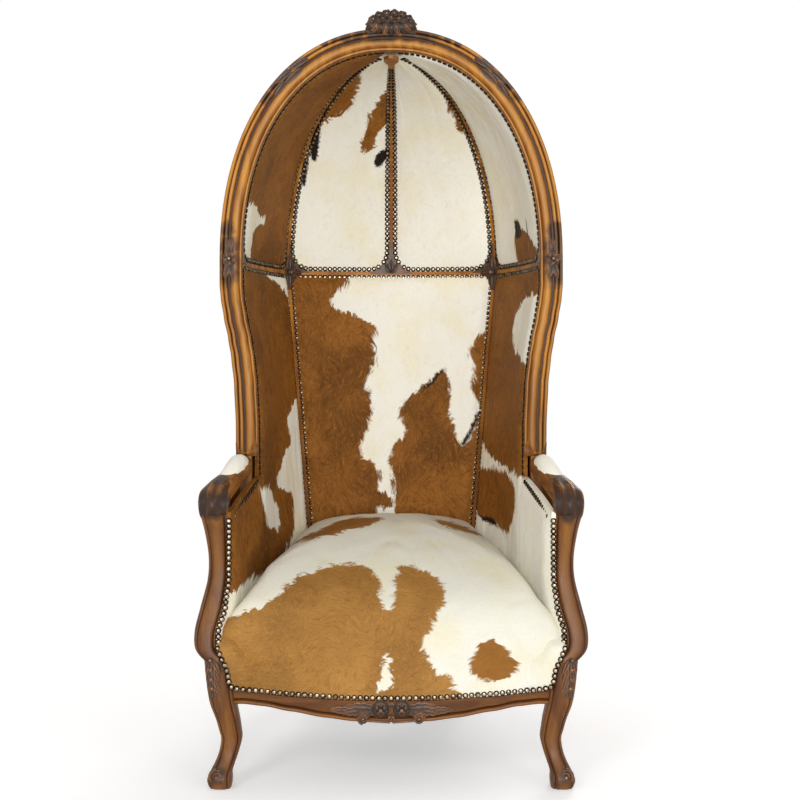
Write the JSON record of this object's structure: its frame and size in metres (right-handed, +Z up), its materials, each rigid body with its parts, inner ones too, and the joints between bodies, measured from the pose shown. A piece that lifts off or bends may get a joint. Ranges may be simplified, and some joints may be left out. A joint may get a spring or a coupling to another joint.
{
  "type": "hall porter chair",
  "caption": "Domed hall porter chair with a carved show frame, wings, stuffed cowhide seat, back and half dome, edged with domed brass nails",
  "frame": {"origin": "on the floor under the middle of the chair's box", "axes": "+Z up and the longest extent, the sitter faces -Y, +X to the right of a viewer who faces the chair's front"},
  "size_m": [0.8134, 0.7281, 1.65],
  "materials": {
    "show_wood": "stained and waxed walnut, satin",
    "carved_wood": "dark antiqued carving with rubbed copper brown high spots",
    "bare_wood": "unfinished hardwood",
    "inner_hide": "cowhide with hair, cream with brown patches",
    "seat_hide": "cowhide with hair, golden tan with white",
    "outer_hide": "cowhide with hair, brown with white patches",
    "nail_brass": "antique brass, dark in the hollows",
    "spring_steel": "coppered steel wire",
    "jute": "woven jute",
    "black_cloth": "black lining cloth"
  },
  "bodies": {
    "root": {"arch_leaves": "carved_wood", "arch_left": "show_wood", "arch_right": "show_wood", "arm_nails": "nail_brass", "arm_pad_left": "inner_hide", "arm_pad_right": "inner_hide", "arm_post_left": "show_wood", "arm_post_right": "show_wood", "arm_side_pad_left": "inner_hide", "arm_side_pad_right": "inner_hide", "armrest_left": "show_wood", "armrest_right": "show_wood", "back_frame_nails": "nail_brass", "back_pad": "inner_hide", "band_back": "show_wood", "band_side_left": "show_wood", "band_side_right": "show_wood", "corner_blocks": "bare_wood", "corner_rosettes": "carved_wood", "crest_carving": "carved_wood", "crown_block": "bare_wood", "dome_cover_back_left": "outer_hide", "dome_cover_back_right": "outer_hide", "dome_cover_side_left": "outer_hide", "dome_cover_side_right": "outer_hide", "dome_nails": "nail_brass", "dome_pad_back_left": "inner_hide", "dome_pad_back_right": "inner_hide", "dome_pad_side_left": "inner_hide", "dome_pad_side_right": "inner_hide", "dome_rib_center": "show_wood", "dome_rib_left": "show_wood", "dome_rib_right": "show_wood", "dust_cover": "black_cloth", "front_frame_nails": "nail_brass", "front_leg_left": "show_wood", "front_leg_right": "show_wood", "knee_leaves": "carved_wood", "outer_arm_left": "outer_hide", "outer_arm_right": "outer_hide", "outer_back": "outer_hide", "outer_wing_left": "outer_hide", "outer_wing_right": "outer_hide", "rail_carving": "carved_wood", "rear_post_left": "show_wood", "rear_post_right": "show_wood", "seat_burlap": "jute", "seat_nails": "nail_brass", "seat_pad": "seat_hide", "seat_rail_back": "show_wood", "seat_rail_front": "show_wood", "seat_rail_side_left": "show_wood", "seat_rail_side_right": "show_wood", "seat_springs": "spring_steel", "seat_webbing": "jute", "side_flowers": "carved_wood", "upright_left": "show_wood", "upright_right": "show_wood", "wing_pad_left": "inner_hide", "wing_pad_right": "inner_hide"}
  },
  "joints": []
}
